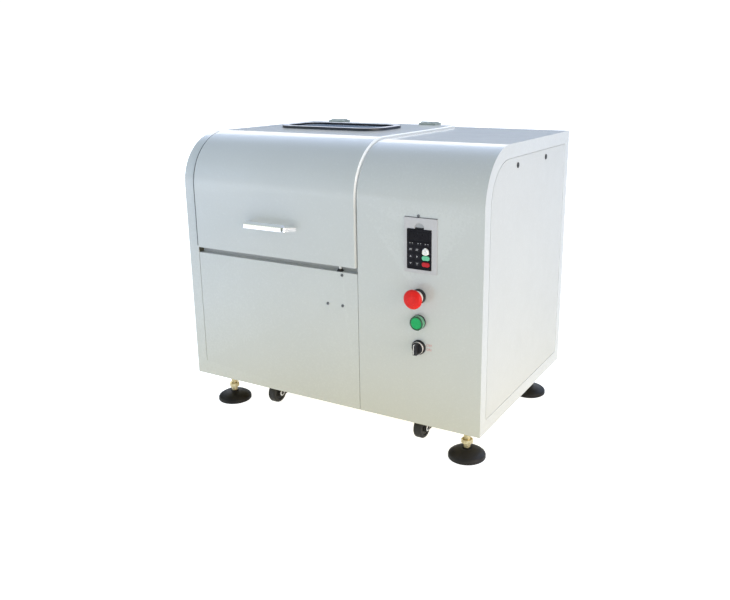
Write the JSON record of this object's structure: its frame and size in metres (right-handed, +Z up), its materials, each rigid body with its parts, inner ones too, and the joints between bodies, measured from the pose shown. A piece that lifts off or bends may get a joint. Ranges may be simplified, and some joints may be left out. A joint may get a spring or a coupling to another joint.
{
  "type": "planetary ball mill",
  "caption": "Floor or bench planetary ball mill: square cabinet with hinged lid, window, control column, jar stations on a geared rotating disc, levelling feet and casters.",
  "frame": {"origin": "centre of the whole outline on the floor under the feet", "axes": "+X to the operator's right along the width, +Y from the front (controls) to the back, +Z up"},
  "size_m": [0.7524, 0.546, 0.6725],
  "materials": {
    "housing_paint": "fine-textured satin powder coat, warm light grey",
    "inner_paint": "plain grey paint",
    "zinc": "yellow-passivated zinc plate",
    "cast_grey": "die-cast zinc, light grey",
    "chrome_trim": "polished chrome plate",
    "machined_steel": "turned steel",
    "stainless": "turned stainless steel",
    "cast_iron_dark": "dark cast iron",
    "alloy": "machined aluminium",
    "motor_paint": "satin blue-grey enamel",
    "black_plastic": "moulded, fine matt",
    "grey_plastic": "moulded, light grey",
    "white_plastic": "moulded, white",
    "red_plastic": "moulded, satin red",
    "green_plastic": "moulded, green",
    "dial_white": "moulded, white",
    "seal_rubber": "extruded rubber, dark navy black",
    "belt_rubber": "rubber and cord",
    "pane": "tinted safety pane",
    "wheel_rubber": "black wheel"
  },
  "bodies": {
    "root": {"base_tray": "housing_paint", "left_side_panel": "housing_paint", "right_housing": "housing_paint", "side_covers": "housing_paint", "lower_front_panel": "housing_paint", "rear_panel": "housing_paint", "deck_frame": "inner_paint", "partition_wall": "inner_paint", "panel_fasteners": "black_plastic", "hinge_bases": "cast_grey", "caster_plates": "zinc", "main_bearing_unit": "cast_iron_dark", "sun_gear": "machined_steel", "drive_belt": "belt_rubber", "motor": "motor_paint", "inverter": "black_plastic", "keypad_bezel": "grey_plastic", "keypad_panel": "black_plastic", "button_bodies": "black_plastic", "pilot_lens": "green_plastic", "mains_inlet": "black_plastic"},
    "lid": {"lid_shell": "housing_paint", "lid_window": "pane", "window_seal": "seal_rubber", "lid_handle": "chrome_trim", "lid_hinges": "cast_grey"},
    "rotor": {"sun_disc": "alloy", "main_shaft": "machined_steel", "driven_pulley": "cast_iron_dark"},
    "motor_rotor": {"drive_pulley": "cast_iron_dark"},
    "estop": {"estop_head": "red_plastic"},
    "selector": {"selector_knob": "black_plastic"},
    "dial": {"speed_dial": "dial_white"},
    "run_button": {"run_key": "green_plastic"},
    "stop_button": {"stop_key": "red_plastic"},
    "plunger": {"interlock_plunger": "white_plastic"},
    "planet_1": {"jar_holder_1": "alloy", "milling_jar_1": "stainless"},
    "clamp_1": {"clamp_screw_1": "machined_steel"},
    "planet_2": {"jar_holder_2": "alloy", "milling_jar_2": "stainless"},
    "clamp_2": {"clamp_screw_2": "machined_steel"},
    "planet_3": {"jar_holder_3": "alloy", "milling_jar_3": "stainless"},
    "clamp_3": {"clamp_screw_3": "machined_steel"},
    "planet_4": {"jar_holder_4": "alloy", "milling_jar_4": "stainless"},
    "clamp_4": {"clamp_screw_4": "machined_steel"},
    "foot_fl": {"foot_fl": "black_plastic"},
    "foot_fr": {"foot_fr": "black_plastic"},
    "foot_rl": {"foot_rl": "black_plastic"},
    "foot_rr": {"foot_rr": "black_plastic"},
    "caster_fork_fl": {"caster_fork_fl": "zinc"},
    "caster_wheel_fl": {"caster_wheel_fl": "wheel_rubber"},
    "caster_fork_fr": {"caster_fork_fr": "zinc"},
    "caster_wheel_fr": {"caster_wheel_fr": "wheel_rubber"},
    "caster_fork_rl": {"caster_fork_rl": "zinc"},
    "caster_wheel_rl": {"caster_wheel_rl": "wheel_rubber"},
    "caster_fork_rr": {"caster_fork_rr": "zinc"},
    "caster_wheel_rr": {"caster_wheel_rr": "wheel_rubber"}
  },
  "joints": [
    {"name": "lid_hinge", "type": "hinge", "parent": "root", "child": "lid", "pos_m": [-0.1175, 0.249, 0.6665], "axis": [-1, 0, 0], "range_deg": [0, 105]},
    {"name": "rotor_spin", "type": "hinge", "parent": "root", "child": "rotor", "pos_m": [-0.126, 0.017, 0.376], "axis": [0, 0, 1], "continuous": true},
    {"name": "motor_spin", "type": "hinge", "parent": "root", "child": "motor_rotor", "pos_m": [0.235, 0.097, 0.221], "axis": [0, 0, 1], "continuous": true},
    {"name": "estop_push", "type": "slide", "parent": "root", "child": "estop", "axis": [0, 1, 0], "range_m": [0, 0.004]},
    {"name": "selector_turn", "type": "hinge", "parent": "root", "child": "selector", "pos_m": [0.237, -0.243, 0.255], "axis": [0, 1, 0], "range_deg": [0, 90]},
    {"name": "dial_turn", "type": "hinge", "parent": "root", "child": "dial", "pos_m": [0.253, -0.2365, 0.456], "axis": [0, 1, 0], "range_deg": [-140, 140]},
    {"name": "run_key_push", "type": "slide", "parent": "root", "child": "run_button", "axis": [0, 1, 0], "range_m": [0, 0.001], "stiffness_N_per_m": 600},
    {"name": "stop_key_push", "type": "slide", "parent": "root", "child": "stop_button", "axis": [0, 1, 0], "range_m": [0, 0.001], "stiffness_N_per_m": 600},
    {"name": "interlock_push", "type": "slide", "parent": "root", "child": "plunger", "axis": [0, 0, -1], "range_m": [0, 0.004], "stiffness_N_per_m": 300},
    {"name": "planet_1_spin", "type": "hinge", "parent": "rotor", "child": "planet_1", "pos_m": [-0.006, 0.017, 0.384], "axis": [0, 0, 1], "continuous": true},
    {"name": "clamp_1_lift", "type": "slide", "parent": "planet_1", "child": "clamp_1", "axis": [0, 0, 1], "range_m": [0, 0.012]},
    {"name": "planet_2_spin", "type": "hinge", "parent": "rotor", "child": "planet_2", "pos_m": [-0.126, 0.137, 0.384], "axis": [0, 0, 1], "continuous": true},
    {"name": "clamp_2_lift", "type": "slide", "parent": "planet_2", "child": "clamp_2", "axis": [0, 0, 1], "range_m": [0, 0.012]},
    {"name": "planet_3_spin", "type": "hinge", "parent": "rotor", "child": "planet_3", "pos_m": [-0.246, 0.017, 0.384], "axis": [0, 0, 1], "continuous": true},
    {"name": "clamp_3_lift", "type": "slide", "parent": "planet_3", "child": "clamp_3", "axis": [0, 0, 1], "range_m": [0, 0.012]},
    {"name": "planet_4_spin", "type": "hinge", "parent": "rotor", "child": "planet_4", "pos_m": [-0.126, -0.103, 0.384], "axis": [0, 0, 1], "continuous": true},
    {"name": "clamp_4_lift", "type": "slide", "parent": "planet_4", "child": "clamp_4", "axis": [0, 0, 1], "range_m": [0, 0.012]},
    {"name": "foot_fl_level", "type": "slide", "parent": "root", "child": "foot_fl", "axis": [0, 0, -1], "range_m": [-0.005, 0.012]},
    {"name": "foot_fr_level", "type": "slide", "parent": "root", "child": "foot_fr", "axis": [0, 0, -1], "range_m": [-0.005, 0.012]},
    {"name": "foot_rl_level", "type": "slide", "parent": "root", "child": "foot_rl", "axis": [0, 0, -1], "range_m": [-0.005, 0.012]},
    {"name": "foot_rr_level", "type": "slide", "parent": "root", "child": "foot_rr", "axis": [0, 0, -1], "range_m": [-0.005, 0.012]},
    {"name": "caster_fl_swivel", "type": "hinge", "parent": "root", "child": "caster_fork_fl", "pos_m": [-0.201, -0.129, 0.074], "axis": [0, 0, 1], "continuous": true},
    {"name": "caster_fl_roll", "type": "hinge", "parent": "caster_fork_fl", "child": "caster_wheel_fl", "pos_m": [-0.201, -0.149, 0.034], "axis": [1, 0, 0], "continuous": true},
    {"name": "caster_fr_swivel", "type": "hinge", "parent": "root", "child": "caster_fork_fr", "pos_m": [0.201, -0.129, 0.074], "axis": [0, 0, 1], "continuous": true},
    {"name": "caster_fr_roll", "type": "hinge", "parent": "caster_fork_fr", "child": "caster_wheel_fr", "pos_m": [0.201, -0.149, 0.034], "axis": [1, 0, 0], "continuous": true},
    {"name": "caster_rl_swivel", "type": "hinge", "parent": "root", "child": "caster_fork_rl", "pos_m": [-0.201, 0.212, 0.074], "axis": [0, 0, 1], "continuous": true},
    {"name": "caster_rl_roll", "type": "hinge", "parent": "caster_fork_rl", "child": "caster_wheel_rl", "pos_m": [-0.201, 0.192, 0.034], "axis": [1, 0, 0], "continuous": true},
    {"name": "caster_rr_swivel", "type": "hinge", "parent": "root", "child": "caster_fork_rr", "pos_m": [0.201, 0.212, 0.074], "axis": [0, 0, 1], "continuous": true},
    {"name": "caster_rr_roll", "type": "hinge", "parent": "caster_fork_rr", "child": "caster_wheel_rr", "pos_m": [0.201, 0.192, 0.034], "axis": [1, 0, 0], "continuous": true}
  ],
  "couplings": [
    {"joint": "motor_spin", "follows": "rotor_spin", "ratio": 2},
    {"joint": "planet_1_spin", "follows": "rotor_spin", "ratio": 1},
    {"joint": "planet_2_spin", "follows": "rotor_spin", "ratio": 1},
    {"joint": "planet_3_spin", "follows": "rotor_spin", "ratio": 1},
    {"joint": "planet_4_spin", "follows": "rotor_spin", "ratio": 1}
  ]
}
